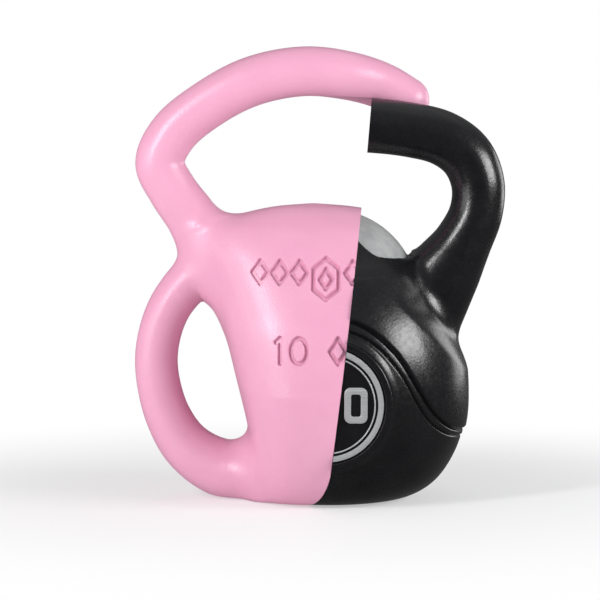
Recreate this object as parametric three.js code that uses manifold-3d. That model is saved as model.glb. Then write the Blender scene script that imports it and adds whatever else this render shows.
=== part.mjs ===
// A two-tone kettlebell: a pink moulded half with an over-arching handle and a side grip, and a black
// moulded half with a loop handle and a round badge, closed round one ballast casting.
// Millimetres. +X is to the right, +Y to the back, +Z up; the origin is at the middle of the base.
import * as THREE from "three";
import { mergeVertices } from "three/addons/utils/BufferGeometryUtils.js";
import Module from "manifold-3d";

const wasm = await Module();
wasm.setup();

// ---- driving dimensions ----
const WALL = 3; // thickness of both moulded skins
const GAP = 0.3; // clearance between neighbouring pieces
const FAR = 300; // beyond every part of the kettlebell

const AXIS_X = 5.2; // upright axis of the ball, the crown and the badge
const BALL_RADIUS = 80.7; // widest half width of the black ball
const BALL_DEPTH = 69; // its half depth
const BALL_MIDDLE_Z = 64.5; // height of its widest level
const BALL_RISE = 94; // from there up to its (open) top
const BASE_HALF_WIDTH = 30; // flat base of the ball, half width
const BASE_HALF_DEPTH = 33; // flat base, half depth
const BASE_ROUNDING = 2.3; // power of the curve from the base to the widest level
const PINK_TOP_Z = 169.8;
const PINK_TOP_SHIFT = 9; // how far the middle of the pink body's top lies to the left of AXIS_X
const PINK_SHIFT_FROM_Z = 105; // where that shift starts
const PINK_SQUARENESS = 2.7; // power of the pink body's level sections; 2 would be an ellipse
const CROWN_RADIUS = 52; // grey crown of the ballast in the mouth of the black half
const CROWN_Z = 115;
const CROWN_FLATTENING = 0.8; // depth of the crown over its width

const JOINT_FOOT_X = 4.6; // the joint between the halves: x = foot + lean * z - bow * z * z
const JOINT_LEAN = 0.139;
const JOINT_BOW = 0.00013;
const JOINT_CORNER = 11; // radius of the joint's curve to the left at the base
const JOINT_STEP = 25; // height of one straight piece of the joint's bowed line

const BADGE_Z = 61.5;
const BADGE_FACE_Y = -66.8; // front of the badge's raised rim
const BADGE_RIM_RADIUS = 36.8;
const BADGE_RADIUS = 33.2;
const BADGE_POCKET = 3.1; // depth of the pocket behind the rim
const PLATE_THICKNESS = 1.5;
const TRIM_THICKNESS = 0.8; // silver rings and numeral
const OUTER_RING_WIDTH = 3.1;
const INNER_RING_RADIUS = 28.6;
const INNER_RING_WIDTH = 0.8;
const NUMERAL_X = 16.3; // middle of the numeral, from the badge's middle
const NUMERAL_WIDTH = 13;
const NUMERAL_HEIGHT = 20;
const NUMERAL_STROKE = 3.8;

const ARCH_ROD_RADIUS = 4.5;
const GRIP_ROD_RADIUS = 4;
const LOOP_ROD_RADIUS = 5;
const CAP_RADIUS = 12;
const CAP_THICKNESS = 4;
const DOWEL_RADIUS = 2.5;
const DOWEL_PLACE = { x: 45, z: 223.5, front: -7, back: 19 };
const PLUG_RADIUS = 7;
const PINK_PLUG_X = -29;
const BLACK_PLUG_X = 17;
const PLUG_RECESS = 0.5;
const BOSS_BACK_Y = -50; // how deep the badge's rim runs into the black ball
const TRIM_MARGIN = 0.2; // from the plate's edge to the outer ring
const NUMERAL_CORNER = 3;
const NUMERAL_INNER_CORNER = 1;

// Half width (from its own middle) and half depth of the pink body, by height.
const PINK_HALF_WIDTHS = [
  [0, 42], [20, 43.5], [40, 45.7], [75, 54], [113, 63.3], [134, 67.5], [147, 69], [156, 65],
  [161.5, 51], [165.5, 36], [168.4, 20], [PINK_TOP_Z, 3],
];
const PINK_HALF_DEPTHS = [
  [64.5, 69], [99, 63], [119, 54.5], [139, 44], [154, 33.5], [162.5, 22.5], [167.5, 12.5], [PINK_TOP_Z, 3],
];

// Middle lines and half thicknesses of the three bars: [x, y, z, half width in the front view, half depth].
const ARCH = [
  [-36, 0, 132, 15, 18], [-54, 0, 139, 16.5, 18], [-66.5, 0, 151, 16, 16.5], [-74.3, 0, 163, 14.8, 15],
  [-84.6, 0, 177.5, 14.1, 14], [-91.7, 0, 193, 14.1, 13.8], [-84, 0, 210, 14, 13.6],
  [-63.4, 0, 227, 13.9, 13.6], [-38, 0, 240, 14.2, 13.6], [-8, 1, 245.5, 14.2, 13.4],
  [18, 6, 242.5, 13.9, 13], [37, 13, 236.5, 13.3, 12.2], [50, 15, 229, 13, 12],
];
const LOOP = [
  [8, 0, 215, 15.6, 15.2], [28.6, 0, 214.5, 15.6, 15.2], [52, 0, 212, 15.7, 15.2],
  [71, 0, 207, 15.7, 15.3], [84.2, 0, 197, 15.6, 15.6], [90.7, 0, 181.5, 15.3, 16],
  [89.6, 0, 164.5, 15.3, 16.5], [82.6, 0, 148.5, 16.6, 17.5], [73.6, 0, 133.5, 20.4, 19.5],
  [62, 0, 116, 24.5, 21], [50, 0, 95, 26, 22],
];
const GRIP = [
  [-36, 0, 108, 15, 20], [-53, 0, 123, 14, 18], [-70.5, 0, 127.5, 13.2, 15.5], [-82.5, 0, 116, 12.6, 13.8],
  [-89.9, 0, 102, 12.3, 13.2], [-94, 0, 83, 12.3, 13], [-92.8, 0, 65.5, 12.5, 13.4],
  [-87, 0, 46, 13.2, 15], [-76, 0, 29, 14.6, 18], [-58, 0, 17.5, 16.6, 22], [-36, 0, 15, 18, 27],
];

// ---- helpers ----
// A closed geometry as a manifold-3d solid.
function solid(geometry) {
  const bare = geometry.clone();
  bare.deleteAttribute("normal");
  bare.deleteAttribute("uv");
  const merged = mergeVertices(bare, 1e-4);
  return new wasm.Manifold(
    new wasm.Mesh({
      numProp: 3,
      vertProperties: new Float32Array(merged.attributes.position.array),
      triVerts: new Uint32Array(merged.index.array),
    }),
  );
}

// A solid as a named mesh with its own material.
function meshOf(name, body, color, roughness, metalness) {
  const { vertProperties, triVerts } = body.getMesh();
  const geometry = new THREE.BufferGeometry();
  geometry.setAttribute("position", new THREE.BufferAttribute(vertProperties, 3));
  geometry.setIndex(new THREE.BufferAttribute(triVerts, 1));
  geometry.computeVertexNormals();
  const mesh = new THREE.Mesh(
    geometry,
    new THREE.MeshStandardMaterial({ color, roughness, metalness, flatShading: true }),
  );
  mesh.name = name;
  return mesh;
}

// The value at a height on a smooth curve through the table's [height, value] rows.
function valueAt(table, height) {
  const last = table.length - 2;
  const above = table.findIndex(([z]) => z > height);
  const i = above < 0 ? last : Math.max(0, above - 1);
  const row = (k) => table[Math.min(table.length - 1, Math.max(0, k))];
  const slope = (k) => (row(k + 1)[1] - row(k - 1)[1]) / (row(k + 1)[0] - row(k - 1)[0]);
  const span = row(i + 1)[0] - row(i)[0];
  const t = THREE.MathUtils.clamp((height - row(i)[0]) / span, 0, 1);
  const rise = (2 * t ** 3 - 3 * t ** 2 + 1) * row(i)[1] + (3 * t ** 2 - 2 * t ** 3) * row(i + 1)[1];
  const bend = (t ** 3 - 2 * t ** 2 + t) * slope(i) + (t ** 3 - t ** 2) * slope(i + 1);
  return rise + bend * span;
}

// An upright body with a flat base whose level sections are ovals; halfWidth and halfDepth give each
// section's size at a height, and power its squareness (2 is an ellipse).
function ovalBody({ top, halfWidth, halfDepth, power, middle = () => AXIS_X, levels = 20, around = 44 }) {
  const profile = [new THREE.Vector2(0, 0)];
  for (let i = 0; i <= levels; i++) {
    profile.push(new THREE.Vector2(1, (top * (1 - Math.cos((Math.PI * i) / levels))) / 2));
  }
  profile.push(new THREE.Vector2(0, top));
  const geometry = new THREE.LatheGeometry(profile, around).rotateX(Math.PI / 2);
  const place = geometry.attributes.position;
  const squared = (share) => Math.sign(share) * Math.abs(share) ** (2 / power);
  for (let i = 0; i < place.count; i++) {
    const z = place.getZ(i);
    place.setX(i, middle(z) + squared(place.getX(i)) * halfWidth(z));
    place.setY(i, squared(place.getY(i)) * halfDepth(z));
  }
  return geometry;
}

// The same geometry shrunk towards its middle, so that a wall of the given thickness is left outside it.
function shrunk(geometry, wall) {
  geometry.computeBoundingBox();
  const middle = geometry.boundingBox.getCenter(new THREE.Vector3());
  const size = geometry.boundingBox.getSize(new THREE.Vector3());
  return geometry
    .clone()
    .translate(-middle.x, -middle.y, -middle.z)
    .scale(1 - (2 * wall) / size.x, 1 - (2 * wall) / size.y, 1 - (2 * wall) / size.z)
    .translate(middle.x, middle.y, middle.z);
}

// A cylinder bent along a row of stations; extra widens it all round, and from and to take a part of it.
// A fixed radius makes it a round rod.
function bar(stations, { extra = 0, radius, from = 0, to = 1, sides = 16, steps = 26 } = {}) {
  const line = new THREE.CatmullRomCurve3(stations.map(([x, y, z]) => new THREE.Vector3(x, y, z)));
  const thickness = new THREE.CatmullRomCurve3(stations.map(([, , , w, d]) => new THREE.Vector3(w, d, 0)));
  const geometry = new THREE.CylinderGeometry(1, 1, 1, sides, steps);
  const place = geometry.attributes.position;
  const depthways = new THREE.Vector3(0, 1, 0);
  for (let i = 0; i < place.count; i++) {
    const u = from + (to - from) * (place.getY(i) + 0.5);
    const across = line.getTangent(u).cross(depthways).normalize();
    const half = thickness.getPoint(u);
    const centre = line.getPoint(u);
    centre.addScaledVector(across, place.getX(i) * ((radius ?? half.x) + extra));
    centre.addScaledVector(depthways, place.getZ(i) * ((radius ?? half.y) + extra));
    place.setXYZ(i, centre.x, centre.y, centre.z);
  }
  return solid(geometry);
}

// A round or ring-shaped block facing forwards, with its middle on (x, z), from y = front to y = back.
function disc(x, z, outer, front, back, inner = 0, segments = 24) {
  const outline = new THREE.Shape().absarc(0, 0, outer, 0, 2 * Math.PI);
  if (inner) outline.holes.push(new THREE.Path().absarc(0, 0, inner, 0, 2 * Math.PI, true));
  const geometry = new THREE.ExtrudeGeometry(outline, {
    depth: back - front,
    bevelEnabled: false,
    curveSegments: segments,
  });
  return solid(geometry.rotateX(Math.PI / 2).translate(x, back, z));
}

// Everything to the right of the joint, moved right by clearance.
function rightOfJoint(clearance) {
  const jointX = (z) => JOINT_FOOT_X + JOINT_LEAN * z - JOINT_BOW * z * z + clearance;
  const outline = new THREE.Shape();
  const cornerTop = 1.8 * JOINT_CORNER;
  outline.moveTo(jointX(0) - JOINT_CORNER, -FAR);
  outline.lineTo(jointX(0) - JOINT_CORNER, 0);
  outline.quadraticCurveTo(jointX(0) - 1, JOINT_CORNER / 3, jointX(cornerTop), cornerTop);
  for (let z = cornerTop + JOINT_STEP; z <= FAR; z += JOINT_STEP) outline.lineTo(jointX(z), z);
  outline.lineTo(FAR, FAR);
  outline.lineTo(FAR, -FAR);
  const geometry = new THREE.ExtrudeGeometry(outline, { depth: 2 * FAR, bevelEnabled: false });
  return solid(geometry.rotateX(Math.PI / 2).translate(0, FAR, 0));
}

// A block from the floor down, which trims whatever would reach below the base.
function belowFloor() {
  return solid(new THREE.BoxGeometry(2 * FAR, 2 * FAR, FAR).translate(0, 0, -FAR / 2));
}

// ---- the forms that the pieces share ----
function ballHalfSize(z, base, middle) {
  if (z > BALL_MIDDLE_Z) {
    return middle * Math.sqrt(Math.max(0.002, 1 - ((z - BALL_MIDDLE_Z) / BALL_RISE) ** 2));
  }
  const share = 1 - ((BALL_MIDDLE_Z - z) / BALL_MIDDLE_Z) ** BASE_ROUNDING;
  return base + (middle - base) * Math.max(0, share) ** (1 / BASE_ROUNDING);
}

const ballForm = ovalBody({
  top: BALL_MIDDLE_Z + BALL_RISE,
  halfWidth: (z) => ballHalfSize(z, BASE_HALF_WIDTH, BALL_RADIUS),
  halfDepth: (z) => ballHalfSize(z, BASE_HALF_DEPTH, BALL_DEPTH),
  power: 2,
});

function pinkHalfDepth(z) {
  return z < BALL_MIDDLE_Z ? ballHalfSize(z, BASE_HALF_DEPTH, BALL_DEPTH) : valueAt(PINK_HALF_DEPTHS, z);
}

function pinkMiddle(z) {
  const share = (z - PINK_SHIFT_FROM_Z) / (PINK_TOP_Z - PINK_SHIFT_FROM_Z);
  return AXIS_X - PINK_TOP_SHIFT * Math.max(0, share) ** 2;
}

const pinkForm = ovalBody({
  top: PINK_TOP_Z,
  halfWidth: (z) => valueAt(PINK_HALF_WIDTHS, z),
  halfDepth: pinkHalfDepth,
  middle: pinkMiddle,
  power: PINK_SQUARENESS,
});

function crown(extra) {
  const reach = CROWN_RADIUS + extra;
  const geometry = new THREE.SphereGeometry(reach, 40, 22).rotateX(Math.PI / 2).scale(1, CROWN_FLATTENING, 1);
  return solid(geometry.translate(AXIS_X, 0, CROWN_Z));
}

// The ballast with a wall of the given thickness left round it, behind the badge's pocket too.
function ballast(wall) {
  const pocketWall = disc(AXIS_X, BADGE_Z, BADGE_RIM_RADIUS, -FAR, BADGE_FACE_Y + BADGE_POCKET + wall);
  const left = solid(shrunk(pinkForm, wall)).subtract(rightOfJoint(2 * GAP));
  const right = solid(shrunk(ballForm, wall)).add(crown(WALL - wall)).intersect(rightOfJoint(0));
  return left.add(right).subtract(pocketWall);
}

// A steel rod along the middle line of a bar, between two shares of its length.
function rod(stations, radius, from, to) {
  return bar(stations, { radius, from, to, sides: 10, steps: 18 });
}

const rods = {
  arch: (extra) => rod(ARCH, ARCH_ROD_RADIUS + extra, 0.02, 0.83),
  grip: (extra) => rod(GRIP, GRIP_ROD_RADIUS + extra, 0.02, 0.97),
  loop: (extra) => rod(LOOP, LOOP_ROD_RADIUS + extra, 0.145, 0.98),
};
const rodBores = [rods.arch(GAP), rods.grip(GAP), rods.loop(GAP)];

// The cap in the cut end of the loop handle, not yet trimmed to the joint.
function endCap(extra) {
  const radius = CAP_RADIUS + extra;
  const geometry = new THREE.CylinderGeometry(radius, radius, 2 * (CAP_THICKNESS + extra), 40);
  return solid(geometry.rotateZ(Math.PI / 2).translate(LOOP[1][0], 0, LOOP[1][2]));
}

function tipDowel(extra) {
  const { x, z, front, back } = DOWEL_PLACE;
  return disc(x, z, DOWEL_RADIUS + extra, front - extra, back + extra, 0, 12);
}

// An upright cylinder at x on the middle line of the base, from z = bottom to z = top.
function baseCylinder(x, radius, bottom, top) {
  const geometry = new THREE.CylinderGeometry(radius, radius, top - bottom, 24);
  return solid(geometry.rotateX(Math.PI / 2).translate(x, 0, (top + bottom) / 2));
}

function basePlug(x) {
  return baseCylinder(x, PLUG_RADIUS, PLUG_RECESS, WALL);
}

// The filling hole that a base plug closes; it runs out through the base.
function fillHole(x) {
  return baseCylinder(x, PLUG_RADIUS + GAP, -WALL, WALL + GAP);
}

// The arch handle with its rounded free end.
function archBar() {
  const [x, y, z, halfWidth, halfDepth] = ARCH.at(-1);
  const tip = new THREE.SphereGeometry(1, 16, 12).scale(halfWidth, halfDepth, halfWidth).translate(x, y, z);
  return bar(ARCH).add(solid(tip));
}

// ---- the pieces ----
function makePinkShell() {
  return solid(pinkForm)
    .add(bar(GRIP))
    .subtract(rightOfJoint(-GAP / 2))
    .add(archBar())
    .subtract(bar(LOOP, { extra: GAP }))
    .subtract(belowFloor())
    .subtract(ballast(WALL))
    .subtract(rodBores[0])
    .subtract(rodBores[1])
    .subtract(tipDowel(GAP))
    .subtract(fillHole(PINK_PLUG_X));
}

function makeBlackShell() {
  return solid(ballForm)
    .add(bar(LOOP))
    .add(disc(AXIS_X, BADGE_Z, BADGE_RIM_RADIUS, BADGE_FACE_Y, BOSS_BACK_Y))
    .intersect(rightOfJoint(GAP / 2))
    .subtract(disc(AXIS_X, BADGE_Z, BADGE_RADIUS + GAP, -FAR, BADGE_FACE_Y + BADGE_POCKET))
    .subtract(belowFloor())
    .subtract(ballast(WALL))
    .subtract(rodBores[2])
    .subtract(endCap(GAP))
    .subtract(tipDowel(GAP))
    .subtract(fillHole(BLACK_PLUG_X));
}

function makeCore() {
  return rodBores.reduce((core, bore) => core.subtract(bore), ballast(WALL + GAP));
}

// A closed oval numeral in block style, with chamfered corners.
function numeralOutline() {
  const ring = (width, height, corner, path) => {
    const [w, h] = [width / 2, height / 2];
    path.moveTo(w, h - corner);
    for (const [x, y] of [
      [w - corner, h], [corner - w, h], [-w, h - corner], [-w, corner - h], [corner - w, -h],
      [w - corner, -h], [w, corner - h],
    ]) path.lineTo(x, y);
    path.closePath();
    return path;
  };
  const outline = ring(NUMERAL_WIDTH, NUMERAL_HEIGHT, NUMERAL_CORNER, new THREE.Shape());
  const [width, height] = [NUMERAL_WIDTH - 2 * NUMERAL_STROKE, NUMERAL_HEIGHT - 2 * NUMERAL_STROKE];
  outline.holes.push(ring(width, height, NUMERAL_INNER_CORNER, new THREE.Path()));
  return outline;
}

const plateBack = BADGE_FACE_Y + BADGE_POCKET - GAP;
const trimBack = plateBack - PLATE_THICKNESS - GAP;

function badgeTrim(outer, width) {
  return disc(AXIS_X, BADGE_Z, outer, trimBack - TRIM_THICKNESS, trimBack, outer - width)
    .intersect(rightOfJoint(GAP / 2));
}

function makeNumeral() {
  const options = { depth: TRIM_THICKNESS, bevelEnabled: false };
  const geometry = new THREE.ExtrudeGeometry(numeralOutline(), options);
  return solid(geometry.rotateX(Math.PI / 2).translate(AXIS_X + NUMERAL_X, trimBack, BADGE_Z));
}

const PINK = 0xeea3c1;
const BLACK = 0x1b1b1d;
const STEEL = 0x8d9093;
const SILVER = 0xb9bcc0;
const CEMENT = 0xb8bab9;
const BADGE_BLACK = 0x0b0b0c;

const kettlebell = new THREE.Group();
kettlebell.add(
  meshOf("pink_shell", makePinkShell(), PINK, 0.5, 0),
  meshOf("black_shell", makeBlackShell(), BLACK, 0.4, 0),
  meshOf("ballast_core", makeCore(), CEMENT, 0.75, 0),
  meshOf("arch_rod", rods.arch(0), STEEL, 0.4, 1),
  meshOf("side_grip_rod", rods.grip(0), STEEL, 0.4, 1),
  meshOf("loop_rod", rods.loop(0), STEEL, 0.4, 1),
  meshOf("loop_end_cap", endCap(0).intersect(rightOfJoint(GAP / 2)), BLACK, 0.5, 0),
  meshOf("arch_tip_dowel", tipDowel(0), STEEL, 0.4, 1),
  meshOf("badge_plate", disc(AXIS_X, BADGE_Z, BADGE_RADIUS, plateBack - PLATE_THICKNESS, plateBack)
    .intersect(rightOfJoint(GAP / 2)), BADGE_BLACK, 0.15, 0),
  meshOf("badge_outer_ring", badgeTrim(BADGE_RADIUS - TRIM_MARGIN, OUTER_RING_WIDTH), SILVER, 0.35, 1),
  meshOf("badge_inner_ring", badgeTrim(INNER_RING_RADIUS, INNER_RING_WIDTH), SILVER, 0.35, 1),
  meshOf("badge_numeral", makeNumeral(), SILVER, 0.35, 1),
  meshOf("pink_fill_plug", basePlug(PINK_PLUG_X), PINK, 0.5, 0),
  meshOf("black_fill_plug", basePlug(BLACK_PLUG_X), BLACK, 0.5, 0),
);

// The origin stands at the middle of the whole kettlebell's box, on the floor.
const middle = new THREE.Box3().setFromObject(kettlebell).getCenter(new THREE.Vector3());
kettlebell.position.set(-middle.x, -middle.y, 0);

export default kettlebell;
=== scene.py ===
"""Two-tone kettlebell: the visual model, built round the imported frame.

The forms are written as distance fields in millimetres, in the part's own frame, turned into meshes by
surface nets and moved exactly onto the form, so that every skin is smooth. Grooves, marks and rims are
worked into a locally refined mesh, and joints, sockets and bores are cut with booleans.
"""
import math

import bmesh
import bpy
import numpy as np
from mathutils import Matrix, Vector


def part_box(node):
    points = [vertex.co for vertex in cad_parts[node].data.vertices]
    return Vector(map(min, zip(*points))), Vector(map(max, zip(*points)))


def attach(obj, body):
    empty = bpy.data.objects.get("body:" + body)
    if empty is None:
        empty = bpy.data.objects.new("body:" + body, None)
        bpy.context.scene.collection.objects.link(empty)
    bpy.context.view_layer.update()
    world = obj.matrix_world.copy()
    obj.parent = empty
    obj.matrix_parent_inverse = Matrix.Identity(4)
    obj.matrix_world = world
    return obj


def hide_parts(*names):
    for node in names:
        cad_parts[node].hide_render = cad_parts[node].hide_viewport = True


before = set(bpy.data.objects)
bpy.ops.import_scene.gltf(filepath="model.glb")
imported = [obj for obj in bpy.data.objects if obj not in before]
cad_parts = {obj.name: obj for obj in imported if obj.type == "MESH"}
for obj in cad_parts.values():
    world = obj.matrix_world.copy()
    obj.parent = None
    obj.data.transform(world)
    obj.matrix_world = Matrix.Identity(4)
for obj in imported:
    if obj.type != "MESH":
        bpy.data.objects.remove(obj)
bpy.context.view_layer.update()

MM = 0.001


def box_mm(node):
    low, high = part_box(node)
    return np.array(low) / MM, np.array(high) / MM


# ---- places that come from the frame ----
PLATE_LOW, PLATE_HIGH = box_mm("badge_plate")
TRIM_FACE_Y = box_mm("badge_outer_ring")[0][1]
THIN_LOW, THIN_HIGH = box_mm("badge_inner_ring")
NUMERAL_LOW, NUMERAL_HIGH = box_mm("badge_numeral")
CORE_TOP_Z = box_mm("ballast_core")[1][2]
CAP_LOW, CAP_HIGH = box_mm("loop_end_cap")

BADGE_Z = (PLATE_HIGH[2] + PLATE_LOW[2]) / 2
BADGE_RADIUS = (PLATE_HIGH[2] - PLATE_LOW[2]) / 2
THIN_RADIUS = (THIN_HIGH[2] - THIN_LOW[2]) / 2
NUMERAL_OFFSET = 16.3
AXIS_X = (NUMERAL_LOW[0] + NUMERAL_HIGH[0]) / 2 - NUMERAL_OFFSET

# ---- driving dimensions, as in the part ----
WALL = 3.0
GAP = 0.3
FAR = 300.0
BALL_RADIUS = 80.7
BALL_DEPTH = 69.0
BALL_MIDDLE_Z = 64.5
BALL_RISE = 94.0
BASE_HALF_WIDTH = 30.0
BASE_HALF_DEPTH = 33.0
BASE_ROUNDING = 2.3
PINK_TOP_Z = 169.8
PINK_TOP_SHIFT = 9.0
PINK_SHIFT_FROM_Z = 105.0
PINK_SQUARENESS = 2.7
CROWN_RADIUS = 52.0
CROWN_Z = CORE_TOP_Z + GAP - CROWN_RADIUS
CROWN_FLATTENING = 0.8
JOINT_FOOT_X = AXIS_X - 0.6
JOINT_LEAN = 0.139
JOINT_BOW = 0.00013
JOINT_CORNER = 11.0
MOUTH_LOW_X = 36.0  # from the axis to where the rim of the mouth is lowest
MOUTH_LOW_Z = 139.3
MOUTH_CURVE = 0.031
COLLAR = 2.0  # thickness of the black collar on the crown
COLLAR_BLEND = 4.0
GRIP_BLEND = 14.0
ARCH_BLEND = 12.0
LOOP_BLEND = 7.0
FOOT_ROUNDING = 2.5
BOSS_BLEND = 2.0
RIM_EDGE = 1.2
MOUTH_EDGE = 0.8
BADGE_FACE_Y = -66.8
BADGE_RIM_RADIUS = 36.8
BADGE_POCKET = 3.1
OUTER_RING_WIDTH = 3.1
INNER_RING_WIDTH = 0.8
NUMERAL_STROKE = 3.8
SHOULDER_SUM = 172.0  # x + z along the ball's shoulder, above which it steps back to the loop's foot
SHOULDER_STEP = 4.0
SHOULDER_ACROSS = (-9, 2)  # where the step rises, across the shoulder
SHOULDER_ALONG = (-62, -44)  # where it starts, along the shoulder
CAP_RADIUS = 12.0
PLUG_RADIUS = 7.0

PINK_HALF_WIDTHS = [
    (0, 42), (20, 43.5), (40, 45.7), (75, 54), (113, 63.3), (134, 67.5), (147, 69), (156, 65),
    (161.5, 51), (165.5, 36), (168.4, 20), (PINK_TOP_Z, 3),
]
PINK_HALF_DEPTHS = [
    (64.5, 69), (99, 63), (119, 54.5), (139, 44), (154, 33.5), (162.5, 22.5), (167.5, 12.5), (PINK_TOP_Z, 3),
]

# Middle lines and half thicknesses of the bars: (x, y, z, half width in the front view, half depth),
# with the ball's axis at x = DESIGN_AXIS_X.
DESIGN_AXIS_X = 5.2
ARCH = [
    (-36, 0, 132, 15, 18), (-54, 0, 139, 16.5, 18), (-66.5, 0, 151, 16, 16.5), (-74.3, 0, 163, 14.8, 15),
    (-84.6, 0, 177.5, 14.1, 14), (-91.7, 0, 193, 14.1, 13.8), (-84, 0, 210, 14, 13.6),
    (-63.4, 0, 227, 13.9, 13.6), (-38, 0, 240, 14.2, 13.6), (-8, 1, 245.5, 14.2, 13.4),
    (18, 6, 242.5, 13.9, 13), (37, 13, 236.5, 13.3, 12.2), (50, 15, 229, 13, 12),
]
LOOP = [
    (8, 0, 215, 15.6, 15.2), (28.6, 0, 214.5, 15.6, 15.2), (52, 0, 212, 15.7, 15.2),
    (71, 0, 207, 15.7, 15.3), (84.2, 0, 197, 15.6, 15.6), (90.7, 0, 181.5, 15.3, 16),
    (89.6, 0, 164.5, 15.3, 16.5), (82.6, 0, 148.5, 16.6, 17.5), (73.6, 0, 133.5, 20.4, 19.5),
    (62, 0, 116, 24.5, 21), (50, 0, 95, 26, 22),
]
GRIP = [
    (-36, 0, 108, 15, 20), (-53, 0, 123, 14, 18), (-70.5, 0, 127.5, 13.2, 15.5), (-82.5, 0, 116, 12.6, 13.8),
    (-89.9, 0, 102, 12.3, 13.2), (-94, 0, 83, 12.3, 13), (-92.8, 0, 65.5, 12.5, 13.4),
    (-87, 0, 46, 13.2, 15), (-76, 0, 29, 14.6, 18), (-58, 0, 17.5, 16.6, 22), (-36, 0, 15, 18, 27),
]

# Heights of the two grooves round the black ball, by degrees round its axis from the front.
OUTER_GROOVE = [(0, 110.8), (20, 103.5), (34, 88.4), (44, 68.8), (52, 55.6), (62, 46.6), (75, 42), (90, 41)]
INNER_GROOVE = [
    (0, 104.3), (13, 101), (24, 94), (35, 78.8), (44, 60.2), (52, 48.6), (63, 41.4), (76, 38), (90, 36.5),
]


# ---- distance fields ----
def table_value(table, heights):
    """Values on a smooth curve through (height, value) rows, the same curve as the part's."""
    z, v = np.array(table, float).T
    slopes = np.empty_like(v)
    slopes[1:-1] = (v[2:] - v[:-2]) / (z[2:] - z[:-2])
    slopes[0] = (v[1] - v[0]) / (z[1] - z[0])
    slopes[-1] = (v[-1] - v[-2]) / (z[-1] - z[-2])
    i = np.clip(np.searchsorted(z, heights, side="right") - 1, 0, len(z) - 2)
    span = z[i + 1] - z[i]
    t = np.clip((heights - z[i]) / span, 0, 1)
    ends = (2 * t**3 - 3 * t**2 + 1) * v[i] + (3 * t**2 - 2 * t**3) * v[i + 1]
    return ends + ((t**3 - 2 * t**2 + t) * slopes[i] + (t**3 - t**2) * slopes[i + 1]) * span


def smooth_min(a, b, radius):
    h = np.clip(0.5 + 0.5 * (b - a) / radius, 0, 1)
    return b + (a - b) * h - radius * h * (1 - h)


def smooth_max(a, b, radius):
    return -smooth_min(-a, -b, radius)


def smooth_step(low, high, value):
    t = np.clip((value - low) / (high - low), 0, 1)
    return t * t * (3 - 2 * t)


class Bar:
    """A bar of oval section along a smooth line that lies nearly in the front plane."""

    samples = 9

    def __init__(self, stations):
        rows = np.array(stations, float)
        rows[:, 0] += AXIS_X - DESIGN_AXIS_X
        self.rows = self._smooth(rows)

    def _smooth(self, rows):
        """Centripetal Catmull-Rom rows through the stations."""
        first, last = 2 * rows[0] - rows[1], 2 * rows[-1] - rows[-2]
        points = np.vstack([first, rows, last])
        made = []
        for k in range(1, len(points) - 2):
            p = points[k - 1 : k + 3]
            s = np.linalg.norm(np.diff(p[:, :3], axis=0), axis=1) ** 0.5
            m1 = ((p[1] - p[0]) / s[0] - (p[2] - p[0]) / (s[0] + s[1]) + (p[2] - p[1]) / s[1]) * s[1]
            m2 = ((p[2] - p[1]) / s[1] - (p[3] - p[1]) / (s[1] + s[2]) + (p[3] - p[2]) / s[2]) * s[1]
            for t in np.linspace(0, 1, self.samples, endpoint=False):
                a, b = 2 * t**3 - 3 * t**2 + 1, 3 * t**2 - 2 * t**3
                made.append(a * p[1] + b * p[2] + (t**3 - 2 * t**2 + t) * m1 + (t**3 - t**2) * m2)
        return np.array(made + [rows[-1]])

    def distance(self, x, y, z):
        shape = np.broadcast_shapes(x.shape, z.shape)
        best = np.full(shape, np.inf)
        found = [np.zeros(shape) for _ in range(3)]
        for a, b in zip(self.rows[:-1], self.rows[1:]):
            dx, dz = b[0] - a[0], b[2] - a[2]
            t = np.clip(((x - a[0]) * dx + (z - a[2]) * dz) / (dx * dx + dz * dz), 0, 1)
            off = (x - a[0] - t * dx) ** 2 + (z - a[2] - t * dz) ** 2
            nearer = off < best
            best = np.where(nearer, off, best)
            for k, column in enumerate((1, 3, 4)):
                found[k] = np.where(nearer, a[column] + t * (b[column] - a[column]), found[k])
        middle_y, width, depth = found
        across, deep = np.sqrt(best), y - middle_y
        inside = np.sqrt((across / width) ** 2 + (deep / depth) ** 2)
        slope = np.sqrt((across / width**2) ** 2 + (deep / depth**2) ** 2)
        return inside * (inside - 1) / np.maximum(slope, 1e-6)


class OvalBody:
    """A body with a flat base whose level sections are ovals; middle, width and depth depend on height."""

    tilts = np.radians([0, 20, 40, 60, 75, 90])

    def __init__(self, top, middle, width, depth, power):
        self.middle, self.width, self.depth, self.power = middle, width, depth, power
        self.heights = np.linspace(0, top, 120)
        centre, half = middle(self.heights), width(self.heights)
        self.reaches = (centre + half, half - centre, depth(self.heights))

    def _beyond(self, sideways, z, reach):
        """How far a point lies beyond the nearest of a row of planes that hold the body."""
        planes = [sideways * math.cos(a) + z * math.sin(a)
                  - (reach * math.cos(a) + self.heights * math.sin(a)).max() for a in self.tilts]
        return np.maximum.reduce(planes)

    def distance(self, x, y, z):
        step = 0.05
        m, w, d = self.middle(z), self.width(z), self.depth(z)
        ax, ay = np.abs(x - m) / w, np.abs(y) / d
        rho = np.maximum((ax**self.power + ay**self.power) ** (1 / self.power), 1e-3)
        rise = [(f(z + step) - f(z - step)) / (2 * step) for f in (self.middle, self.width, self.depth)]
        gx = (ax / rho) ** (self.power - 1) / w
        gy = (ay / rho) ** (self.power - 1) / d
        gz = gx * (ax * rise[1] + np.sign(x - m) * rise[0]) + gy * ay * rise[2]
        near = (rho - 1) / np.sqrt(gx**2 + gy**2 + gz**2 + 1e-7)
        right, left, deep = self.reaches
        for sideways, reach in ((x, right), (-x, left), (np.abs(y), deep)):
            near = np.maximum(near, self._beyond(sideways, z, reach))
        return near


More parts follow.
